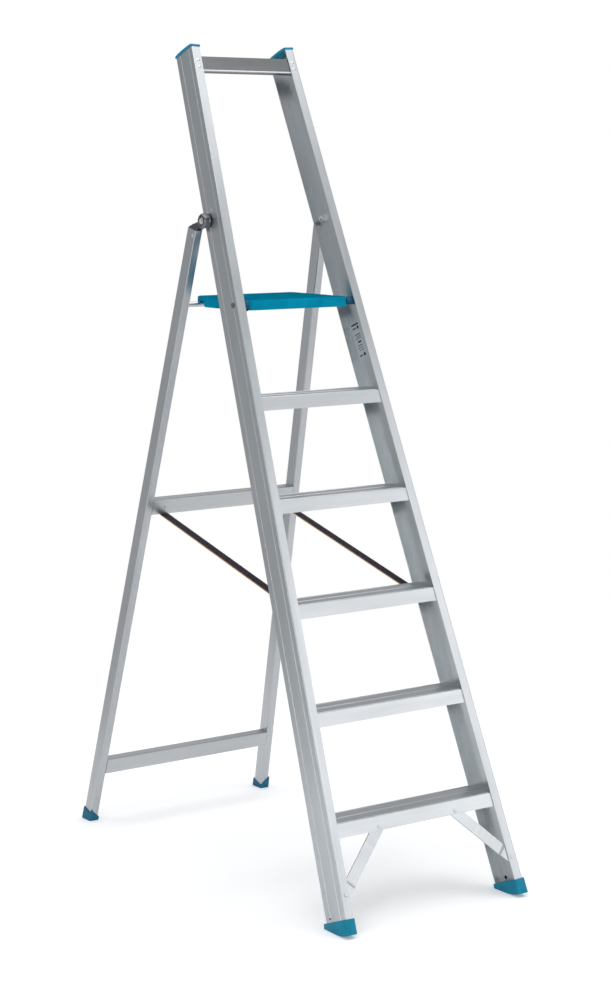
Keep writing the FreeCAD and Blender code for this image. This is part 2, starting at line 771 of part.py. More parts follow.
def knuckle():
    """Moulded hinge eye with a neck on the leg's upper end and a plug inside the tube."""
    depth, along = to_leg(*hinge_place())
    drum = cross_cylinder(KNUCKLE_RADIUS, KNUCKLE_INNER, KNUCKLE_OUTER, depth, along)
    drum = rounded(drum, 3.0, lambda point: point.x > KNUCKLE_OUTER - 0.1)
    reach = KNUCKLE_RADIUS * math.sin(math.radians(60))
    rise = KNUCKLE_RADIUS * math.cos(math.radians(60))
    chin = KNUCKLE_RADIUS * math.cos(math.radians(45))
    neck_outline = [
        (0, LEG_TOP), (LEG_DEPTH, LEG_TOP), (LEG_DEPTH - 2, LEG_TOP + 7),
        (depth + reach, along + rise), (depth, along), (depth - chin, along - chin),
    ]
    neck = side_prism(neck_outline, KNUCKLE_INNER, KNUCKLE_OUTER)
    inset = LEG_WALL + 0.1
    plug_low = LEG_TOP - KNUCKLE_PLUG
    plug = Part.makeBox(400, LEG_DEPTH - 2 * inset, KNUCKLE_PLUG + 2, Vector(0, inset, plug_low))
    plug = plug.common(tapered_slab(leg_x, -inset, LEG_WIDTH - inset, plug_low - 1, LEG_TOP + 5))
    eye = drum.fuse(neck).fuse(plug).removeSplitter()
    bore = cross_cylinder(BOLT_RADIUS + BEARING_EASE, 160, 210, depth, along)
    return drilled(eye.cut(bore), [knuckle_rivet_seat()], LEG_OUTWARD, 8)


def knuckle_rivet():
    return rivet(knuckle_rivet_seat(), LEG_OUTWARD, 5, RIVET_HEAD, 0)


def platform_rod():
    middle = LEG_DEPTH / 2
    rod = cross_cylinder(ROD_RADIUS, -WIDE, WIDE, middle, ROD_ALONG)
    return rod.common(between_faces(leg_x, LEG_WIDTH, ROD_ALONG - 30, ROD_ALONG + 30))


# Platform tray, drawn level with y from the stiles' floor line

def platform():
    bottom = PLATFORM_TOP - PLATFORM_SIDE_LIP
    length = PLATFORM_REAR - PLATFORM_FRONT

    def tray_block(inset, drop):
        block = Part.makeBox(
            2 * (PLATFORM_HALF_WIDTH - inset), length - 2 * inset, 60,
            Vector(-PLATFORM_HALF_WIDTH + inset, PLATFORM_FRONT + inset, PLATFORM_TOP - 60 - drop),
        )
        corner = PLATFORM_CORNER - inset
        block = rounded(block, corner, lambda p: abs(p.x) > 100 and abs(p.z - PLATFORM_TOP + 30 + drop) < 1)
        if inset:
            return block
        return rounded(block, 2.5, lambda p: p.z > PLATFORM_TOP - 0.1)

    tray = tray_block(0, 0).cut(tray_block(PLATFORM_WALL, PLATFORM_WALL))
    front_hem = PLATFORM_TOP - PLATFORM_FRONT_LIP
    rod_hem = PLATFORM_TOP - 12.5
    front_bend = PLATFORM_FRONT + PLATFORM_CORNER + 4
    profile = [
        (PLATFORM_FRONT - 1, front_hem), (PLATFORM_FRONT + PLATFORM_CORNER, front_hem),
        (front_bend, bottom), (PLATFORM_STEP_START, bottom), (PLATFORM_STEP_START + 4, bottom + 5),
        (PLATFORM_STEP_END, rod_hem), (PLATFORM_REAR + 1, rod_hem),
        (PLATFORM_REAR + 1, PLATFORM_TOP + 1), (PLATFORM_FRONT - 1, PLATFORM_TOP + 1),
    ]
    return tray.common(side_prism(profile, -PLATFORM_HALF_WIDTH - 1, PLATFORM_HALF_WIDTH + 1))


def platform_bush():
    y, z = platform_pivot()
    sleeve = cross_cylinder(BUSH_RADIUS, PLATFORM_HALF_WIDTH, BUSH_OUTER, y, z)
    bore = cross_cylinder(PIN_RADIUS + BEARING_EASE, PIN_INNER - 1, BUSH_OUTER + 1, y, z)
    return sleeve.cut(bore)


def platform_hook():
    """Block under the tray's rear end, hooked down behind the rod."""
    rod_y, rod_z = from_leg(LEG_DEPTH / 2, ROD_ALONG)
    high = PLATFORM_TOP - PLATFORM_WALL
    back = PLATFORM_REAR - PLATFORM_WALL
    outer = PLATFORM_HALF_WIDTH - PLATFORM_WALL
    outline = [
        (rod_y - 12, high), (rod_y - 12, rod_z + 8), (rod_y, rod_z + 4), (rod_y + 6, rod_z),
        (rod_y + 8.5, PLATFORM_TOP - HOOK_DROP), (back, PLATFORM_TOP - HOOK_DROP), (back, high),
    ]
    hook = side_prism(outline, outer - HOOK_WIDTH, outer)
    seat = cross_cylinder(ROD_RADIUS + PART_GAP, 100, 200, rod_y, rod_z)
    return hook.cut(seat).cut(platform())


# Straps

def strap():
    """Taut webbing from behind the upper brace's front wall to the third tread's rear lip."""
    seat = strap_tread_seat()
    lip_depth = seat.y + PART_GAP
    low_y, low_z = from_stile(lip_depth, seat.z - STRAP_TAB / 2)
    bend_y, bend_z = from_stile(lip_depth, seat.z + STRAP_TAB / 2)
    hem_depth, hem_along = BRACE_WALL, BRACE_STARTS["upper"]
    hem_y, hem_z = from_leg(hem_depth, hem_along - 1)
    top_y, top_z = from_leg(hem_depth, hem_along + BRACE_HEIGHT - 6)
    face = [(low_y, low_z), (bend_y, bend_z), (hem_y, hem_z), (top_y, top_z)]
    outline = face + offset_path(face, STRAP_THICKNESS)[::-1]
    left = STRAP_ACROSS - STRAP_WIDTH / 2
    band = side_prism(outline, left, left + STRAP_WIDTH)
    ease = RIVET_RADIUS + 0.1
    seat_y, seat_z = from_stile(seat.y, seat.z)
    lower_start = Vector(STRAP_ACROSS, seat_y, seat_z) - stile_normal() * 10
    lower = Part.makeCylinder(ease, 30, lower_start, stile_normal())
    brace_seat = brace_rivet_seat()
    rivet_y, rivet_z = from_leg(brace_seat.y, brace_seat.z)
    upper_start = Vector(STRAP_ACROSS, rivet_y, rivet_z) - leg_normal() * 5
    upper = Part.makeCylinder(ease, 20, upper_start, leg_normal())
    return band.cut(lower).cut(upper)


def stile_normal():
    return Vector(0, math.cos(LEAN), -math.sin(LEAN))


def leg_normal():
    return Vector(0, math.cos(REAR_LEAN), math.sin(REAR_LEAN))


def offset_path(points, distance):
    """Move a (y, z) path sideways, to its right, with mitred corners."""
    lines = []
    for (ay, az), (by, bz) in zip(points, points[1:]):
        length = math.hypot(by - ay, bz - az)
        side_y = (bz - az) / length * distance
        side_z = -(by - ay) / length * distance
        lines.append(((ay + side_y, az + side_z), (by + side_y, bz + side_z)))
    moved = [lines[0][0]]
    for (a, b), (c, d) in zip(lines, lines[1:]):
        run_y, run_z = b[0] - a[0], b[1] - a[1]
        next_y, next_z = d[0] - c[0], d[1] - c[1]
        cross = run_y * next_z - run_z * next_y
        reach = ((c[0] - a[0]) * next_z - (c[1] - a[1]) * next_y) / cross
        moved.append((a[0] + run_y * reach, a[1] + run_z * reach))
    moved.append(lines[-1][1])
    return moved


def strap_tread_washer():
    seat = strap_tread_seat()
    low = seat.y + STRAP_THICKNESS + 2 * PART_GAP
    disc = Part.makeCylinder(8.5, 1.2, Vector(seat.x, low, seat.z), REARWARD)
    return disc.cut(Part.makeCylinder(RIVET_RADIUS + HOLE_EASE, 3, Vector(seat.x, low - 1, seat.z), REARWARD))


def strap_tread_rivet():
    seat = strap_tread_seat()
    stack = STRAP_THICKNESS + 2 * PART_GAP + 1.2
    return rivet(Vector(seat.x, seat.y + stack, seat.z), REARWARD, stack + TREAD_WALL)


def strap_brace_rivet():
    return rivet(brace_rivet_seat(), FORWARD, BRACE_WALL + STRAP_THICKNESS)


def make_front_frame():
    save_pair("stile", stile(), lean_back)
    for number in range(1, TREAD_COUNT + 1):
        save("tread_%d" % number, lean_back(tread(number)))
    save_both_sides("tread_rivets", tread_rivets(), lean_back)
    save_pair("stay", stay(), lean_back)
    save_both_sides("stay_rivets", stay_rivets(), lean_back)
    save("top_rail", lean_back(top_rail()))
    save_both_sides("top_rail_rivets", top_rail_rivets(), lean_back)
    save_pair("top_cap", top_cap(), lean_back)
    save_pair("front_foot", front_foot(), lean_back)
    save_both_sides("foot_screws", [foot_screw()], lean_back)
    save_both_sides("web_rivets", [web_rivet()], lean_back)
    save("label", lean_back(label()))
    save_both_sides("strap_tread_washers", [strap_tread_washer()], lean_back)
    save_both_sides("strap_tread_rivets", [strap_tread_rivet()], lean_back)
    stile_solid = level_stile()
    save_pair("hinge_bolt", hinge_bolt(), level)
    save_pair("hinge_nut", hinge_nut(stile_solid), level)
    save_pair("hinge_washer", hinge_washer(stile_solid), level)
    save_pair("platform_pin", platform_pin(), level)


def make_rear_frame():
    save_pair("rear_leg", rear_leg(), lean_forward)
    save_pair("rear_foot", rear_foot(), lean_forward)
    save_pair("knuckle", knuckle(), lean_forward)
    save_both_sides("knuckle_rivets", [knuckle_rivet()], lean_forward)
    for name in BRACE_STARTS:
        save("rear_brace_" + name, lean_forward(rear_brace(name)))
    save_both_sides("brace_brackets", [brace_bracket(start) for start in BRACE_STARTS.values()], lean_forward)
    save_both_sides("bracket_rivets", bracket_rivets(), lean_forward)
    save("platform_rod", lean_forward(platform_rod()))
    save_both_sides("strap_brace_rivets", [strap_brace_rivet()], lean_forward)
    save_pair("strap", strap(), level)


def make_platform():
    save("platform", level(platform()))
    save_pair("platform_bush", platform_bush(), level)
    save_pair("platform_hook", platform_hook(), level)


os.makedirs("parts", exist_ok=True)
make_front_frame()
make_rear_frame()
make_platform()
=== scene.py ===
import math
import bmesh
import bpy
from mathutils import Matrix, Vector


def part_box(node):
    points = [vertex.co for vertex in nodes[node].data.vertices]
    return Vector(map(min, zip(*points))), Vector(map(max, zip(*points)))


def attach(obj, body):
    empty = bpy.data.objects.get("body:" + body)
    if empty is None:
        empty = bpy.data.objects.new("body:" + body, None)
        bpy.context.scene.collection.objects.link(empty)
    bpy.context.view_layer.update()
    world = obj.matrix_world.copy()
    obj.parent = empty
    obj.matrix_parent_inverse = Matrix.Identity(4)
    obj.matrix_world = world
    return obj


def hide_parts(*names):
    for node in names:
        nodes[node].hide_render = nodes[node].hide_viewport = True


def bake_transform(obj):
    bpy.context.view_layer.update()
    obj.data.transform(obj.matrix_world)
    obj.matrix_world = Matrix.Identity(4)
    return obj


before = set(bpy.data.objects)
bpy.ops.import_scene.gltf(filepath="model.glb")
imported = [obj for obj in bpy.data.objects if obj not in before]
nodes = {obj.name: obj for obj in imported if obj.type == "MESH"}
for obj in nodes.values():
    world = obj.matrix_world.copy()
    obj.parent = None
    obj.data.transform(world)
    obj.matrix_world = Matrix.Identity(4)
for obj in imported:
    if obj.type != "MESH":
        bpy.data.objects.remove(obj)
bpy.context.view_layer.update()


# ---------------------------------------------------------------------------------------------
# Studio. A white floor that melts into a white room, one wide softbox overhead, one low at the
# climber's right, one narrow by the camera, and a duller room behind that the metal mirrors.
# ---------------------------------------------------------------------------------------------
scene = bpy.context.scene
scene.view_settings.view_transform = "Standard"

camera_data = bpy.data.cameras.new("camera")
camera = bpy.data.objects.new("camera", camera_data)
scene.collection.objects.link(camera)
scene.camera = camera
camera_data.lens = 80.32
camera_data.shift_y = -0.15
camera.location = (-3.0952, -4.4537, 1.7056)
camera.rotation_euler = (math.radians(90 - 4.731), 0, math.radians(-35.061))


def new_finish(name):
    """An empty finish: its material, its node tree and its shader."""
    finish = bpy.data.materials.new(name)
    finish.use_nodes = True
    return finish, finish.node_tree, finish.node_tree.nodes["Principled BSDF"]


def work_out(tree, operation, *values):
    """Arithmetic over a surface, on numbers and on other nodes' results."""
    step = tree.nodes.new("ShaderNodeMath")
    step.operation = operation
    for socket, value in zip(step.inputs, values):
        if isinstance(value, (int, float)):
            socket.default_value = value
        else:
            tree.links.new(value, socket)
    return step.outputs[0]


def carry_over(tree, value, old_range, new_range, steps="LINEAR"):
    """A value carried over from one range to another."""
    change = tree.nodes.new("ShaderNodeMapRange")
    change.interpolation_type = steps
    change.inputs["From Min"].default_value, change.inputs["From Max"].default_value = old_range
    change.inputs["To Min"].default_value, change.inputs["To Max"].default_value = new_range
    tree.links.new(value, change.inputs["Value"])
    return change.outputs["Result"]


def dimmed(tree, colour, share):
    """A colour times a share that changes from place to place."""
    dimmer = tree.nodes.new("ShaderNodeVectorMath")
    dimmer.operation = "SCALE"
    tree.links.new(colour, dimmer.inputs[0])
    tree.links.new(share, dimmer.inputs["Scale"])
    return dimmer.outputs["Vector"]


floor_glow = 0.21
floor_fade = (0.9, 3.0)
bpy.ops.object.select_all(action="DESELECT")
bpy.ops.mesh.primitive_plane_add(size=8, location=(0, 0, 0))
floor = bpy.context.object
floor.name = "floor"
floor_paint, floor_tree, floor_shader = new_finish("floor_paint")
floor_shader.inputs["Base Color"].default_value = (0.97, 0.97, 0.975, 1)
floor_shader.inputs["Roughness"].default_value = 0.9
floor_shader.inputs["Specular IOR Level"].default_value = 0.1
floor_shader.inputs["Emission Color"].default_value = (1, 1, 1, 1)
floor_seen = floor_tree.nodes.new("ShaderNodeLightPath").outputs["Is Camera Ray"]
floor_tree.links.new(
    work_out(floor_tree, "MULTIPLY", floor_seen, floor_glow), floor_shader.inputs["Emission Strength"],
)
floor_place = floor_tree.nodes.new("ShaderNodeTexCoord")
floor_reach = floor_tree.nodes.new("ShaderNodeVectorMath")
floor_reach.operation = "LENGTH"
floor_tree.links.new(floor_place.outputs["Object"], floor_reach.inputs[0])
floor_tree.links.new(
    carry_over(floor_tree, floor_reach.outputs["Value"], floor_fade, (1, 0), "SMOOTHSTEP"),
    floor_shader.inputs["Alpha"],
)
floor.data.materials.append(floor_paint)


def softbox(name, place, aim, width, height, watts):
    """A rectangular lamp at a place, turned towards what it lights."""
    light_data = bpy.data.lights.new(name, "AREA")
    light_data.shape = "RECTANGLE"
    light_data.size = width
    light_data.size_y = height
    light_data.energy = watts
    light = bpy.data.objects.new(name, light_data)
    scene.collection.objects.link(light)
    light.location = place
    light.rotation_euler = (Vector(aim) - Vector(place)).to_track_quat("-Z", "Y").to_euler()


softbox("softbox_above", (0, -0.3, 5.2), (0, 0, 0), 6.5, 6.5, 198)
softbox("softbox_right", (4.3, -5.0, 2.75), (0, 0, 1.0), 4.6, 3.4, 53)
softbox("softbox_camera", (-4.2, -3.6, 2.0), (0, 0, 1.0), 0.7, 3.0, 38)

room = bpy.data.worlds.new("room")
scene.world = room
room.use_nodes = True
room_tree = room.node_tree
room_light = room_tree.nodes["Background"]
room_way = room_tree.nodes.new("ShaderNodeTexCoord").outputs["Generated"]
room_parts = room_tree.nodes.new("ShaderNodeSeparateXYZ")
room_tree.links.new(room_way, room_parts.inputs[0])
room_tone = room_tree.nodes.new("ShaderNodeValToRGB")
room_tone.color_ramp.elements[0].position = 0.24
room_tone.color_ramp.elements[0].color = (0.80, 0.81, 0.82, 1)
room_tone.color_ramp.elements[1].position = 0.60
room_tone.color_ramp.elements[1].color = (0.42, 0.435, 0.45, 1)
room_horizon = room_tone.color_ramp.elements.new(0.46)
room_horizon.color = (0.56, 0.575, 0.59, 1)
room_tree.links.new(carry_over(room_tree, room_parts.outputs["Z"], (-1, 1), (0, 1)), room_tone.inputs["Fac"])
room_corner = room_tree.nodes.new("ShaderNodeVectorMath")
room_corner.operation = "DOT_PRODUCT"
room_corner.inputs[1].default_value = (-0.6, 0.8, 0)
room_tree.links.new(room_way, room_corner.inputs[0])
room_shade = carry_over(room_tree, room_corner.outputs["Value"], (0.2, 1), (1, 0.8), "SMOOTHSTEP")
room_tree.links.new(dimmed(room_tree, room_tone.outputs["Color"], room_shade), room_light.inputs["Color"])
backdrop = room_tree.nodes.new("ShaderNodeBackground")
backdrop.inputs["Color"].default_value = (1, 1, 1, 1)
room_seen = room_tree.nodes.new("ShaderNodeLightPath")
room_choice = room_tree.nodes.new("ShaderNodeMixShader")
room_tree.links.new(room_seen.outputs["Is Camera Ray"], room_choice.inputs[0])
room_tree.links.new(room_light.outputs[0], room_choice.inputs[1])
room_tree.links.new(backdrop.outputs[0], room_choice.inputs[2])
room_tree.links.new(room_choice.outputs[0], room_tree.nodes["World Output"].inputs["Surface"])


# ---------------------------------------------------------------------------------------------
# Stiles. Two extruded aluminium channels, web outside, that lean back and close towards the
# top. They keep the die lines of the extrusion along their length and a dull mill finish.
# ---------------------------------------------------------------------------------------------
stile_lean = 22.0
stile_closing = 2.874
stile_tone = (0.56, 0.585, 0.60)


def noise(tree, place, scale, detail):
    """Uneven clouds, finer for a larger scale."""
    clouds = tree.nodes.new("ShaderNodeTexNoise")
    clouds.inputs["Scale"].default_value = scale
    clouds.inputs["Detail"].default_value = detail
    tree.links.new(place, clouds.inputs["Vector"])
    return clouds.outputs["Fac"]


def two_tones(tree, value, ends, dark, light):
    """A colour that goes from dark to light as the value goes from end to end."""
    ramp = tree.nodes.new("ShaderNodeValToRGB")
    for stop, position, tone in zip(ramp.color_ramp.elements, ends, (dark, light)):
        stop.position = position
        stop.color = (*tone, 1)
    tree.links.new(value, ramp.inputs["Fac"])
    return ramp.outputs["Color"]


def raise_grain(tree, shader, height, strength, depth):
    """Bumps that follow a height over the surface."""
    relief = tree.nodes.new("ShaderNodeBump")
    relief.inputs["Strength"].default_value = strength
    relief.inputs["Distance"].default_value = depth
    tree.links.new(height, relief.inputs["Height"])
    tree.links.new(relief.outputs["Normal"], shader.inputs["Normal"])


def drawn_aluminium(name, tone, roughness, turn, runs_across=False):
    """Mill finish: die lines along the section, cloudy changes of tone and faint handling marks."""
    metal, tree, shader = new_finish(name)
    shader.inputs["Metallic"].default_value = 1.0
    place = tree.nodes.new("ShaderNodeTexCoord")
    square = tree.nodes.new("ShaderNodeMapping")
    square.inputs["Rotation"].default_value = [math.radians(angle) for angle in turn]
    tree.links.new(place.outputs["Object"], square.inputs["Vector"])

    def pattern(across, along, detail):
        stretch = tree.nodes.new("ShaderNodeMapping")
        stretch.inputs["Scale"].default_value = (
            (along, across, across) if runs_across else (across, across, along)
        )
        tree.links.new(square.outputs["Vector"], stretch.inputs["Vector"])
        return noise(tree, stretch.outputs["Vector"], 1, detail)

    die_lines = pattern(260, 1.6, 3)
    clouds = pattern(14, 3.5, 2)
    marks = pattern(70, 9, 2)
    blend = work_out(tree, "MULTIPLY_ADD", die_lines, 0.55, clouds)
    shade = two_tones(tree, blend, (0.45, 1), [c * 0.92 for c in tone], [min(c * 1.06, 1) for c in tone])
    tree.links.new(shade, shader.inputs["Base Color"])
    dull = carry_over(tree, marks, (0.3, 0.75), (roughness - 0.02, roughness + 0.035))
    tree.links.new(dull, shader.inputs["Roughness"])
    raise_grain(tree, shader, die_lines, 0.10, 0.0004)
    return metal


def finish_with(material, *names):
    """Give CAD pieces their finish."""
    for name in names:
        nodes[name].data.materials.clear()
        nodes[name].data.materials.append(material)


for side, closing in (("right", stile_closing), ("left", -stile_closing)):
    stile_metal = drawn_aluminium("stile_metal_" + side, stile_tone, 0.30, (stile_lean, closing, 0))
    finish_with(stile_metal, "stile_" + side)


# ---------------------------------------------------------------------------------------------
# Treads. Five pressed aluminium channels with lengthwise ribs on top, level between the stiles,
# each held by domed rivets. They are a little brighter than the stiles.
# ---------------------------------------------------------------------------------------------
tread_metal = drawn_aluminium("tread_metal", (0.60, 0.62, 0.635), 0.32, (0, 0, 0), runs_across=True)
finish_with(tread_metal, *["tread_%d" % number for number in range(1, 6)])


def rivet_metal(name, tone, roughness):
    """Set rivet: bright, with the small dents that the rivet tool leaves."""
    metal, tree, shader = new_finish(name)
    shader.inputs["Metallic"].default_value = 1.0
    place = tree.nodes.new("ShaderNodeTexCoord")
    dents = noise(tree, place.outputs["Object"], 420, 3)
    shade = two_tones(tree, dents, (0.3, 0.7), [c * 0.8 for c in tone], tone)
    tree.links.new(shade, shader.inputs["Base Color"])
    dull = carry_over(tree, dents, (0, 1), (roughness - 0.06, roughness + 0.1))
    tree.links.new(dull, shader.inputs["Roughness"])
    raise_grain(tree, shader, dents, 0.15, 0.0003)
    return metal


bright_rivet = rivet_metal("bright_rivet", (0.72, 0.73, 0.74), 0.28)
finish_with(bright_rivet, "tread_rivets")


# ---------------------------------------------------------------------------------------------
# Stays. Flat aluminium bars under the first tread, run down to the stiles at about 45 degrees
# and riveted at both ends.
# ---------------------------------------------------------------------------------------------
stay_tone = (0.62, 0.64, 0.655)
for side, slope in (("right", -45), ("left", 45)):
    stay_metal = drawn_aluminium("stay_metal_" + side, stay_tone, 0.34, (stile_lean, slope, 0))
    finish_with(stay_metal, "stay_" + side)
finish_with(bright_rivet, "stay_rivets")


# ---------------------------------------------------------------------------------------------
# Top rail. A box section whose colour is darkened all over as painted shade, left bright on the
# bead along its lower front edge as a painted highlight, riveted between the stiles just under
# their upper ends.
# ---------------------------------------------------------------------------------------------
rail_turn = Matrix.Rotation(math.radians(-stile_lean), 4, "X")
rail_painted_shade = 0.27
bead_depth = 0.0022
bead_height = 0.0048


def box_along(node, turn):
    """A piece's lowest and highest corners, measured square to the member that it sits on."""
    square = turn.inverted()
    places = [square @ vertex.co for vertex in nodes[node].data.vertices]
    low = Vector([min(place[axis] for place in places) for axis in range(3)])
    high = Vector([max(place[axis] for place in places) for axis in range(3)])
    return low, high


def dim(shader, tree, share):
    """Paint shade into a finish: darken its colour by a share that changes from place to place."""
    colour = shader.inputs["Base Color"].links[0].from_socket
    tree.links.new(dimmed(tree, colour, share), shader.inputs["Base Color"])


rail_low, rail_high = box_along("top_rail", rail_turn)
rail_metal = drawn_aluminium("rail_metal", (0.62, 0.64, 0.65), 0.34, (stile_lean, 0, 0), runs_across=True)
rail_tree = rail_metal.node_tree
rail_place = rail_tree.nodes.new("ShaderNodeSeparateXYZ")
rail_tree.links.new(rail_tree.nodes["Mapping"].outputs["Vector"], rail_place.inputs[0])
at_front = work_out(rail_tree, "LESS_THAN", rail_place.outputs["Y"], rail_low.y + bead_depth)
at_bottom = work_out(rail_tree, "LESS_THAN", rail_place.outputs["Z"], rail_low.z + bead_height)
painted_highlight_bead = work_out(rail_tree, "MULTIPLY", at_front, at_bottom)
# Painted shade and highlight: the rail's colour is darkened everywhere except on the bead, which stays
# bright.
dim(rail_tree.nodes["Principled BSDF"], rail_tree, carry_over(rail_tree, painted_highlight_bead, (0, 1), (rail_painted_shade, 1)))
finish_with(rail_metal, "top_rail")
finish_with(bright_rivet, "top_rail_rivets")


# ---------------------------------------------------------------------------------------------
# Top caps. Moulded in teal plastic: a crowned lid with rounded edges over the stile's sawn end,
# and a short plug below it that sits between the flanges.
# ---------------------------------------------------------------------------------------------
stile_turn = (
    Matrix.Rotation(math.radians(-stile_lean), 4, "X")
    @ Matrix.Rotation(math.radians(-stile_closing), 4, "Y")
)
teal = (0.006, 0.235, 0.375)


def moulded_plastic(name, tone, roughness, grain_size, grain_depth):
    """Moulded plastic: fine spark-eroded grain, slow changes of tone, rubbed patches a bit glossier."""
    plastic, tree, shader = new_finish(name)
    shader.inputs["Specular IOR Level"].default_value = 0.22
    place = tree.nodes.new("ShaderNodeTexCoord")
    clouds = noise(tree, place.outputs["Object"], 26, 4)
    grain = noise(tree, place.outputs["Object"], 1 / grain_size, 2)
    shade = two_tones(tree, clouds, (0.3, 0.7), [c * 0.84 for c in tone], [c * 1.12 for c in tone])
    tree.links.new(shade, shader.inputs["Base Color"])
    dull = carry_over(tree, clouds, (0.3, 0.7), (roughness - 0.07, roughness + 0.07))
    tree.links.new(dull, shader.inputs["Roughness"])
    raise_grain(tree, shader, grain, grain_depth, 0.0003)
    return plastic


def begin(name):
    """The primitive just added, with its size and place in its mesh, open for editing."""
    piece = bpy.context.object
    piece.name = name
    piece.data.name = name
    bpy.ops.object.transform_apply(location=True, rotation=True, scale=True)
    bpy.ops.object.mode_set(mode="EDIT")
    return piece


def pick(piece, kind, wanted):
    """Select the faces or edges that the test wants: test(middle, normal or direction)."""
    bpy.ops.mesh.select_mode(type=kind)
    bpy.ops.mesh.select_all(action="DESELECT")
    shape = bmesh.from_edit_mesh(piece.data)
    shape.normal_update()
    if kind == "FACE":
        for face in shape.faces:
            if wanted(face.calc_center_median(), face.normal):
                face.select_set(True)
    else:
        for edge in shape.edges:
            start, end = edge.verts[0].co, edge.verts[1].co
            if wanted((start + end) / 2, (end - start).normalized()):
                edge.select_set(True)
    shape.select_flush_mode()
    bmesh.update_edit_mesh(piece.data)


def extrude(x, y, z):
    """Draw what is selected out by a distance along each axis."""
    bpy.ops.mesh.extrude_region_move(TRANSFORM_OT_translate={"value": (x, y, z)})


def step_inwards(steps):
    """Ring after ring inside the selected face, each narrower than the last and further out."""
    for narrower, rise in steps:
        bpy.ops.mesh.inset(thickness=narrower)
        bpy.ops.transform.translate(value=(rise, 0, 0))


def close_up(piece, rounding, segments, angle=35):
    """Leave editing with outward faces, round the sharp edges and shade smooth between them."""
    bpy.ops.mesh.select_all(action="SELECT")
    bpy.ops.mesh.remove_doubles(threshold=0.00002)
    bpy.ops.mesh.normals_make_consistent(inside=False)
    bpy.ops.object.mode_set(mode="OBJECT")
    soft = piece.modifiers.new("rounding", "BEVEL")
    soft.width = rounding
    soft.segments = segments
    soft.limit_method = "ANGLE"
    soft.angle_limit = math.radians(angle)
    bpy.ops.object.modifier_apply(modifier="rounding")
    bpy.ops.object.shade_smooth_by_angle(angle=math.radians(40))


def other_hand(piece, name):
    """The same piece for the left side, with its own mesh."""
    bpy.ops.object.select_all(action="DESELECT")
    twin = piece.copy()
    twin.data = piece.data.copy()
    twin.name = name
    twin.data.name = name
    scene.collection.objects.link(twin)
    twin.data.transform(Matrix.Scale(-1, 4, (1, 0, 0)))
    bpy.context.view_layer.objects.active = twin
    twin.select_set(True)
    bpy.ops.object.mode_set(mode="EDIT")
    bpy.ops.mesh.select_all(action="SELECT")
    bpy.ops.mesh.normals_make_consistent(inside=False)
    bpy.ops.object.mode_set(mode="OBJECT")
    return twin


def stand_for(piece, node, body, material):
    """Finish a new piece, hang it on its body and show it in place of its CAD node."""
    piece.data.materials.clear()
    piece.data.materials.append(material)
    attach(piece, body)
    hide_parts(node)


lid_edge = 0.005
lid_crown = 0.0034
lid_rim = 0.0042
lid_above_plug_end = 0.018
plug_depth = 0.0024
cap_low, cap_high = box_along("top_cap_right", stile_turn)
cap_base = cap_low.z + lid_above_plug_end
cap_middle = (cap_low + cap_high) / 2
bpy.ops.object.select_all(action="DESELECT")
bpy.ops.mesh.primitive_plane_add(size=1, location=(cap_middle.x, cap_middle.y, cap_base + lid_edge))
bpy.context.object.scale = (cap_high.x - cap_low.x, cap_high.y - cap_low.y, 1)
cap = begin("cap_right")
pick(cap, "EDGE", lambda middle, way: abs(way.y) > 0.9)
bpy.ops.mesh.subdivide(number_cuts=11)
pick(cap, "EDGE", lambda middle, way: abs(way.x) > 0.9 and abs(middle.y - cap_middle.y) < 0.001)
bpy.ops.transform.translate(
    value=(0, 0, lid_crown), use_proportional_edit=True, proportional_edit_falloff="SPHERE",
    proportional_size=(cap_high.y - cap_low.y) / 2 + 0.001,
)
bpy.ops.mesh.select_all(action="SELECT")
extrude(0, 0, -lid_edge)
bpy.ops.transform.resize(value=(1, 1, 0), center_override=(cap_middle.x, cap_middle.y, cap_base))
bpy.ops.mesh.inset(thickness=lid_rim)
bpy.ops.transform.resize(value=(0.5, 1, 1), center_override=(cap_high.x - 0.005, cap_middle.y, cap_base))
extrude(0, 0, -plug_depth)
bpy.ops.transform.resize(value=(0.93, 0.97, 1), center_override=(cap_high.x - 0.008, cap_middle.y, cap_low.z))
close_up(cap, 0.0012, 3)
cap.data.transform(stile_turn)
cap_plastic = moulded_plastic("cap_plastic", teal, 0.36, 0.0007, 0.12)
stand_for(cap, "top_cap_right", "front_frame", cap_plastic)
stand_for(other_hand(cap, "cap_left"), "top_cap_left", "front_frame", cap_plastic)


# ---------------------------------------------------------------------------------------------
# Front feet. Moulded shoes on the stiles' lower ends: a straight upper edge square to the
# stile, a curved toe, a level sole, a heel cut away behind, and a low rim round the channel.
# ---------------------------------------------------------------------------------------------
foot_wall = 0.0025
foot_heel_wall = 0.006
foot_inner_wall = 0.001
foot_rim_height = 0.0012
toe_back = 0.050
toe_reach = 0.048
toe_lift = 0.0092
heel_slope = math.radians(14)
heel_height = 0.0097
sole_spare = 0.012
foot_low, foot_high = box_along("front_foot_right", stile_turn)
foot_low.z -= sole_spare
foot_middle = (foot_low + foot_high) / 2
foot_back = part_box("front_foot_right")[1].y
bpy.ops.object.select_all(action="DESELECT")
bpy.ops.mesh.primitive_cube_add(size=1, location=foot_middle, scale=foot_high - foot_low)
foot = begin("foot_right")
stile_square = stile_turn.inverted()


def saw_foot(spot, way):
    """Cut away what lies beyond a spot, on the side that way points to, with the sole level."""
    bpy.ops.mesh.select_all(action="SELECT")
    bpy.ops.mesh.bisect(
        plane_co=stile_square @ Vector(spot), plane_no=stile_square.to_3x3() @ Vector(way),
        use_fill=True, clear_outer=True,
    )


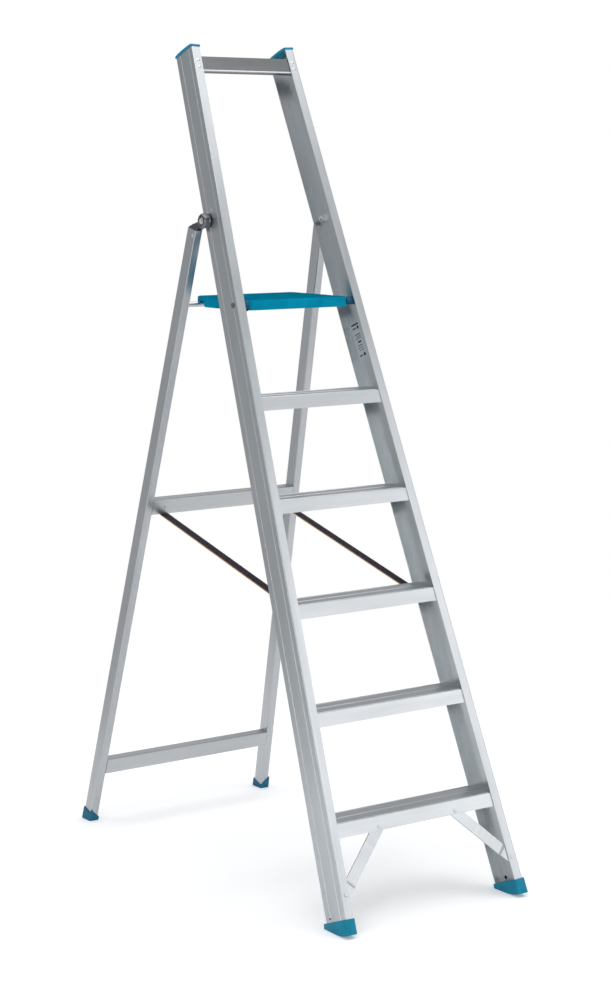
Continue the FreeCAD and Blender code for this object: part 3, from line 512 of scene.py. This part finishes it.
saw_foot((0, 0, 0), (0, 0, -1))
toe_line = (foot_low.y + foot_wall) / math.cos(math.radians(stile_lean)) + toe_back
for share in (0.12, 0.32, 0.52, 0.72, 0.92):
    slope = math.atan(2 * toe_lift / toe_reach * share)
    toe_spot = (0, toe_line - toe_reach * share, toe_lift * share ** 2)
    saw_foot(toe_spot, (0, -math.sin(slope), -math.cos(slope)))
saw_foot((0, foot_back, heel_height), (0, math.cos(heel_slope), -math.sin(heel_slope)))
pick(foot, "FACE", lambda middle, normal: normal.z > 0.99)
bpy.ops.mesh.inset(thickness=foot_inner_wall)
for axis, line, shift in (
    (0, foot_high.x - foot_inner_wall, foot_inner_wall - foot_wall),
    (1, foot_low.y + foot_inner_wall, foot_wall - foot_inner_wall),
    (1, foot_high.y - foot_inner_wall, foot_inner_wall - foot_heel_wall),
):
    pick(foot, "EDGE", lambda middle, way: (
        abs(middle[axis] - line) < 0.0002 and abs(way[1 - axis]) > 0.9
        and middle.z > foot_high.z - 0.0001
    ))
    bpy.ops.transform.translate(value=(shift, 0, 0) if axis == 0 else (0, shift, 0))
pick(foot, "FACE", lambda middle, normal: (
    normal.z > 0.99 and abs(middle.x - foot_middle.x) < 0.004 and abs(middle.y - foot_middle.y) < 0.01
))
extrude(0, 0, -foot_rim_height)
close_up(foot, 0.0009, 2)
foot.data.transform(stile_turn)
foot_plastic = moulded_plastic("foot_plastic", (0.004, 0.24, 0.37), 0.45, 0.0008, 0.16)
stand_for(foot, "front_foot_right", "front_frame", foot_plastic)
stand_for(other_hand(foot, "foot_left"), "front_foot_left", "front_frame", foot_plastic)


# ---------------------------------------------------------------------------------------------
# Screws and rivets on the webs. A blackened screw holds each foot from inside the channel, and
# a small ring rivet sits above each hinge.
# ---------------------------------------------------------------------------------------------
black_screw = rivet_metal("black_screw", (0.035, 0.036, 0.04), 0.42)
finish_with(black_screw, "foot_screws")
finish_with(bright_rivet, "web_rivets")


# ---------------------------------------------------------------------------------------------
# Label. A thin brushed plate with rounded corners inside the right stile's web. Its marks are
# plain dark bars and blocks, with no lettering.
# ---------------------------------------------------------------------------------------------
label_low, label_high = box_along("label", stile_turn)
bpy.ops.object.select_all(action="DESELECT")
bpy.ops.mesh.primitive_cube_add(
    size=1, location=(label_low + label_high) / 2, scale=label_high - label_low,
)
plate = begin("plate")
pick(plate, "EDGE", lambda middle, way: abs(way.x) > 0.9)
bpy.ops.mesh.bevel(offset=0.003, segments=5)
close_up(plate, 0.0001, 1)
plate.data.transform(stile_turn)
plate_metal, plate_tree, plate_shader = new_finish("plate_metal")
plate_shader.inputs["Metallic"].default_value = 0.85
plate_place = plate_tree.nodes.new("ShaderNodeTexCoord")
plate_square = plate_tree.nodes.new("ShaderNodeMapping")
plate_square.inputs["Rotation"].default_value = (math.radians(stile_lean), math.radians(stile_closing), 0)
plate_from = plate_tree.nodes.new("ShaderNodeVectorMath")
plate_from.operation = "SUBTRACT"
plate_from.inputs[1].default_value = label_low
plate_parts = plate_tree.nodes.new("ShaderNodeSeparateXYZ")
plate_tree.links.new(plate_place.outputs["Object"], plate_square.inputs["Vector"])
plate_tree.links.new(plate_square.outputs["Vector"], plate_from.inputs[0])
plate_tree.links.new(plate_from.outputs["Vector"], plate_parts.inputs[0])


def between(axis, start, end):
    """1 where the plate's depth or length lies between two distances, 0 elsewhere."""
    off = work_out(plate_tree, "SUBTRACT", plate_parts.outputs[axis], (start + end) / 2)
    return work_out(plate_tree, "LESS_THAN", work_out(plate_tree, "ABSOLUTE", off), (end - start) / 2)


# Each bar's reach across the plate, then along it, from the plate's lower front corner.
plate_bars = (
    (0.004, 0.034, 0.089, 0.093), (0.006, 0.013, 0.078, 0.086), (0.017, 0.032, 0.080, 0.083),
    (0.006, 0.030, 0.064, 0.066), (0.006, 0.026, 0.059, 0.0605), (0.006, 0.031, 0.054, 0.0555),
    (0.010, 0.024, 0.044, 0.048), (0.010, 0.028, 0.036, 0.038), (0.008, 0.030, 0.030, 0.0315),
    (0.008, 0.025, 0.024, 0.0255), (0.006, 0.014, 0.008, 0.016), (0.018, 0.032, 0.010, 0.013),
)
plate_marks = 0.0
for front, back, bottom, top in plate_bars:
    bar = work_out(plate_tree, "MULTIPLY", between("Y", front, back), between("Z", bottom, top))
    plate_marks = work_out(plate_tree, "MAXIMUM", plate_marks, bar)
plate_ink = plate_tree.nodes.new("ShaderNodeMix")
plate_ink.data_type = "RGBA"
plate_ink.inputs["A"].default_value = (0.60, 0.64, 0.66, 1)
plate_ink.inputs["B"].default_value = (0.03, 0.035, 0.045, 1)
plate_tree.links.new(plate_marks, plate_ink.inputs["Factor"])
plate_tree.links.new(plate_ink.outputs["Result"], plate_shader.inputs["Base Color"])
plate_brush = noise(plate_tree, plate_square.outputs["Vector"], 300, 2)
plate_dull = carry_over(plate_tree, plate_brush, (0, 1), (0.28, 0.44))
plate_tree.links.new(plate_dull, plate_shader.inputs["Roughness"])
stand_for(plate, "label", "front_frame", plate_metal)


# ---------------------------------------------------------------------------------------------
# Rear legs. Rectangular aluminium tube, leaning forward and closing towards the top, with two
# channel braces riveted between them through small angle brackets.
# ---------------------------------------------------------------------------------------------
leg_lean = 14.4
leg_closing = 2.906
leg_tone = (0.56, 0.58, 0.595)
for side, closing in (("right", leg_closing), ("left", -leg_closing)):
    leg_metal = drawn_aluminium("leg_metal_" + side, leg_tone, 0.33, (-leg_lean, closing, 0))
    finish_with(leg_metal, "rear_leg_" + side)
brace_metal = drawn_aluminium("brace_metal", (0.58, 0.60, 0.61), 0.34, (0, 0, 0), runs_across=True)
finish_with(brace_metal, "rear_brace_lower", "rear_brace_upper", "brace_brackets")
finish_with(bright_rivet, "bracket_rivets")
finish_with(rivet_metal("leg_rivet", (0.92, 0.93, 0.94), 0.14), "knuckle_rivets")


# ---------------------------------------------------------------------------------------------
# Rear shoes. Teal plastic cups on the legs' lower ends, with a sloping rim and a tongue up the
# outer front corner, pushed on and held by their grip.
# ---------------------------------------------------------------------------------------------
shoe_plastic = moulded_plastic("shoe_plastic", (0.012, 0.14, 0.235), 0.46, 0.0008, 0.18)
finish_with(shoe_plastic, "rear_foot_right", "rear_foot_left")


# ---------------------------------------------------------------------------------------------
# Hinge knuckles. Polished dark die castings: a ringed eye that turns on the hinge bolt, and a
# banded neck that runs down into the top of the leg's tube.
# ---------------------------------------------------------------------------------------------
leg_turn = (
    Matrix.Rotation(math.radians(leg_lean), 4, "X")
    @ Matrix.Rotation(math.radians(-leg_closing), 4, "Y")
)
eye_radius = 0.0182
eye_width = 0.013
neck_size = Vector((0.0178, 0.0328, 0.031))
neck_above_leg = 0.001
bolt_low, bolt_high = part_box("hinge_bolt_right")
axle = (bolt_low + bolt_high) / 2
eye_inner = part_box("knuckle_right")[0].x
bpy.ops.object.select_all(action="DESELECT")
bpy.ops.mesh.primitive_cylinder_add(
    vertices=64, radius=eye_radius, depth=eye_width, rotation=(0, math.pi / 2, 0),
    location=(eye_inner + eye_width / 2, axle.y, axle.z),
)
knuckle = begin("knuckle_eye_right")
pick(knuckle, "FACE", lambda middle, normal: normal.x > 0.99)
domed = ((0.0009, 0.0019), (0.0011, 0.0015), (0.0014, 0.0013), (0.0016, 0.0009), (0.0012, 0.0003))
ringed = ((0.0004, -0.0009), (0.0008, 0.0), (0.0004, 0.0009), (0.0006, 0.0), (0.0003, -0.0034))
step_inwards(domed + ringed)
close_up(knuckle, 0.0003, 2, 40)

leg_low, leg_high = box_along("rear_leg_right", leg_turn)
neck_start = (leg_low + leg_high) / 2
neck_start.z = leg_high.z + neck_above_leg
bpy.ops.object.select_all(action="DESELECT")
bpy.ops.mesh.primitive_cube_add(
    size=1, location=neck_start - Vector((0, 0, neck_size.z / 2)), scale=neck_size,
)
neck = begin("knuckle_neck_right")
pick(neck, "FACE", lambda middle, normal: normal.z > 0.99)
toward_eye = leg_turn.inverted() @ axle - neck_start
bands = (
    (0.10, 1.03, 1.06), (0.04, 0.965, 0.93), (0.10, 0.99, 0.98), (0.04, 1.03, 1.06),
    (0.10, 0.985, 0.97), (0.05, 0.96, 0.92), (0.12, 0.975, 0.95), (0.42, 1, 0.80),
)
for share, width, depth in bands:
    extrude(*(toward_eye * share))
    bpy.ops.transform.resize(value=(width, depth, 1))
close_up(neck, 0.0011, 3, 50)
neck.data.transform(leg_turn)
# The neck's inner side is flat where the eye's is, so that both pass the stile.
for vertex in neck.data.vertices:
    vertex.co.x = max(vertex.co.x, eye_inner)
bpy.ops.object.select_all(action="DESELECT")
bpy.context.view_layer.objects.active = knuckle
knuckle.select_set(True)
weld = knuckle.modifiers.new("weld", "BOOLEAN")
weld.operation = "UNION"
weld.solver = "EXACT"
weld.object = neck
bpy.ops.object.modifier_apply(modifier="weld")
bpy.data.objects.remove(neck)
bpy.ops.object.shade_smooth_by_angle(angle=math.radians(32))
polished_casting = rivet_metal("polished_casting", (0.20, 0.205, 0.215), 0.17)
stand_for(knuckle, "knuckle_right", "rear_frame", polished_casting)
stand_for(other_hand(knuckle, "knuckle_eye_left"), "knuckle_left", "rear_frame", polished_casting)


# ---------------------------------------------------------------------------------------------
# Hinge bolts. A zinc-plated bolt with a low domed head outside the knuckle, a nut inside the
# web and a teal nylon washer between the knuckle and the web.
# ---------------------------------------------------------------------------------------------
bolt_radius = 0.005
head_radius = 0.0085
head_height = 0.0034
head_start = bolt_high.x - head_height
bpy.ops.object.select_all(action="DESELECT")
bpy.ops.mesh.primitive_cylinder_add(
    vertices=48, radius=bolt_radius, depth=head_start - bolt_low.x, rotation=(0, math.pi / 2, 0),
    location=((bolt_low.x + head_start) / 2, axle.y, axle.z),
)
bolt = begin("bolt_right")
pick(bolt, "FACE", lambda middle, normal: normal.x > 0.99)
extrude(0, 0, 0)
bpy.ops.transform.resize(value=(1, head_radius / bolt_radius, head_radius / bolt_radius))
extrude(0.0014, 0, 0)
step_inwards(((0.0012, 0.0009), (0.0018, 0.0007), (0.0014, 0.0002), (0.0006, -0.0011)))
pick(bolt, "FACE", lambda middle, normal: normal.x < -0.99 and middle.x < bolt_low.x + 0.0001)
step_inwards(((0.0007, -0.0002),))
close_up(bolt, 0.0002, 2, 45)
zinc = rivet_metal("zinc_plating", (0.78, 0.79, 0.80), 0.2)
stand_for(bolt, "hinge_bolt_right", "front_frame", zinc)
stand_for(other_hand(bolt, "bolt_left"), "hinge_bolt_left", "front_frame", zinc)
finish_with(zinc, "hinge_nut_right", "hinge_nut_left")
finish_with(cap_plastic, "hinge_washer_right", "hinge_washer_left")


# ---------------------------------------------------------------------------------------------
# Platform. A tray pressed from sheet and coated teal, on two steel pins in plastic bushes, with
# moulded hooks under its rear end that rest on the rod across the rear legs.
# ---------------------------------------------------------------------------------------------
tray_top_painted_shade = 0.62
tray_coat = moulded_plastic("tray_coat", (0.003, 0.26, 0.42), 0.55, 0.0012, 0.10)
tray_tree = tray_coat.node_tree
tray_shader = tray_tree.nodes["Principled BSDF"]
tray_shader.inputs["Specular IOR Level"].default_value = 0.0
tray_place = tray_tree.nodes.new("ShaderNodeSeparateXYZ")
tray_tree.links.new(tray_tree.nodes["Texture Coordinate"].outputs["Object"], tray_place.inputs[0])
tray_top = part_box("platform")[1].z
# Painted shade: the tray's top face is coloured darker than its lips, standing for the shade on it.
painted_shade_on_top = carry_over(
    tray_tree, tray_place.outputs["Z"], (tray_top - 0.0012, tray_top - 0.0004), (1, tray_top_painted_shade),
)
dim(tray_shader, tray_tree, painted_shade_on_top)
finish_with(tray_coat, "platform")
# Painted shade: the bushes and rear hooks are coloured a darker teal than the tray, standing for the shade
# they sit in.
bush_plastic_painted_shade = moulded_plastic("bush_plastic_painted_shade", (0.008, 0.10, 0.17), 0.48, 0.0008, 0.15)
pin_steel = rivet_metal("pin_steel", (0.25, 0.255, 0.265), 0.3)
for side in ("right", "left"):
    finish_with(bush_plastic_painted_shade, "platform_bush_" + side, "platform_hook_" + side)
    finish_with(pin_steel, "platform_pin_" + side)
rod_metal = drawn_aluminium("rod_metal", (0.62, 0.63, 0.64), 0.24, (0, 0, 0), runs_across=True)
finish_with(rod_metal, "platform_rod")


# ---------------------------------------------------------------------------------------------
# Straps. Two navy webbing straps with tan edge threads, riveted behind the upper brace and
# under the third tread. They stop the legs opening; here they keep one fixed shape.
# ---------------------------------------------------------------------------------------------
strap_width = 0.025
strap_thickness = 0.0019
strap_tab = 0.022
strap_hem = 0.0332
bend_radius = 0.005
bend_reach = 0.002
face_to_middle = 0.001
strap_low, strap_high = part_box("strap_right")
strap_corners = [vertex.co for vertex in nodes["strap_right"].data.vertices]
stile_way = Vector((0, math.sin(math.radians(stile_lean)), math.cos(math.radians(stile_lean))))
leg_way = Vector((0, -math.sin(math.radians(leg_lean)), math.cos(math.radians(leg_lean))))
middle_x = (strap_low.x + strap_high.x) / 2
lowest = min(strap_corners, key=lambda place: place.z)
highest = max(strap_corners, key=lambda place: place.z)
tab_end = lowest - Vector((0, stile_way.z, -stile_way.y)) * face_to_middle
hem_end = highest - Vector((0, leg_way.z, -leg_way.y)) * face_to_middle
tab_bend = tab_end + stile_way * strap_tab
hem_bend = hem_end - leg_way * strap_hem
tab_bend.x = hem_bend.x = tab_end.x = hem_end.x = middle_x
strap_run = hem_bend - tab_bend
run_way = strap_run.normalized()
bpy.ops.object.select_all(action="DESELECT")
bpy.ops.mesh.primitive_plane_add(
    size=1, location=(tab_end + tab_bend) / 2, rotation=(math.radians(90 - stile_lean), 0, 0),
)
bpy.context.object.scale = (strap_width, strap_tab, 1)
strap = begin("webbing_right")
pick(strap, "EDGE", lambda middle, way: abs(way.x) > 0.9)
bpy.ops.mesh.subdivide(number_cuts=9)
pick(strap, "EDGE", lambda middle, way: abs(way.x) > 0.9 and abs(middle.z - tab_bend.z) < 0.001)
extrude(*strap_run)
extrude(*(hem_end - hem_bend))
pick(strap, "EDGE", lambda middle, way: (
    abs(way.x) > 0.9 and min(abs(middle.z - tab_bend.z), abs(middle.z - hem_bend.z)) < 0.001
))
bpy.ops.mesh.bevel(offset=bend_radius, segments=5)
pick(strap, "EDGE", lambda middle, way: abs(way.dot(run_way)) > 0.9999 and (middle - tab_bend).length > 0.1)
bpy.ops.mesh.subdivide(number_cuts=63)
bpy.ops.mesh.select_all(action="SELECT")
bpy.ops.mesh.normals_make_consistent(inside=False)
bpy.ops.object.mode_set(mode="OBJECT")
thick = strap.modifiers.new("thickness", "SOLIDIFY")
thick.thickness = strap_thickness
thick.offset = 0
bpy.ops.object.modifier_apply(modifier="thickness")
bpy.ops.object.shade_smooth_by_angle(angle=math.radians(40))
strap_map = strap.data.uv_layers.active
strap_map.name = "weave"
for loop in strap.data.loops:
    place = strap.data.vertices[loop.vertex_index].co
    along = (place - tab_bend).dot(run_way)
    if along < bend_reach:
        along = ((place - tab_bend).dot(stile_way) + along) / 2
    elif along > strap_run.length - bend_reach:
        along = strap_run.length + (place - hem_bend).dot(leg_way)
    strap_map.data[loop.index].uv = (place.x - middle_x, along)

webbing, webbing_tree, webbing_shader = new_finish("webbing")
webbing_shader.inputs["Roughness"].default_value = 0.8
webbing_shader.inputs["Sheen Weight"].default_value = 0.12
webbing_shader.inputs["Sheen Roughness"].default_value = 0.4
webbing_shader.inputs["Specular IOR Level"].default_value = 0.2
webbing_map = webbing_tree.nodes.new("ShaderNodeUVMap")
webbing_map.uv_map = "weave"
webbing_parts = webbing_tree.nodes.new("ShaderNodeSeparateXYZ")
webbing_tree.links.new(webbing_map.outputs["UV"], webbing_parts.inputs[0])


def thread_wave(axis, pitch):
    """A wave of one thread pitch across or along the webbing."""
    turns = work_out(webbing_tree, "MULTIPLY", webbing_parts.outputs[axis], 2 * math.pi / pitch)
    return work_out(webbing_tree, "SINE", turns)


weave = work_out(webbing_tree, "MULTIPLY", thread_wave("X", 0.0022), thread_wave("Y", 0.0026))
fuzz = noise(webbing_tree, webbing_map.outputs["UV"], 900, 3)
thread_height = work_out(webbing_tree, "ADD", weave, fuzz)
navy = two_tones(webbing_tree, thread_height, (0, 1), (0.0025, 0.0035, 0.010), (0.010, 0.016, 0.045))
from_middle = work_out(webbing_tree, "ABSOLUTE", webbing_parts.outputs["X"])
edge_threads = (strap_width / 2 - 0.0014, strap_width / 2 - 0.0009)
edged = webbing_tree.nodes.new("ShaderNodeMix")
edged.data_type = "RGBA"
edged.inputs["B"].default_value = (0.72, 0.36, 0.12, 1)
webbing_tree.links.new(carry_over(webbing_tree, from_middle, edge_threads, (0, 1)), edged.inputs["Factor"])
webbing_tree.links.new(navy, edged.inputs["A"])
webbing_tree.links.new(edged.outputs["Result"], webbing_shader.inputs["Base Color"])
raise_grain(webbing_tree, webbing_shader, thread_height, 0.5, 0.0004)

strap_left = other_hand(strap, "webbing_left")
for piece, node, side in ((strap, "strap_right", 1), (strap_left, "strap_left", -1)):
    piece.data.materials.clear()
    piece.data.materials.append(webbing)
    start = hem_bend.copy()
    end = tab_bend.copy()
    start.x = end.x = side * middle_x
    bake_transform(piece)
    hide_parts(node)
finish_with(bright_rivet, "strap_tread_rivets", "strap_tread_washers", "strap_brace_rivets")
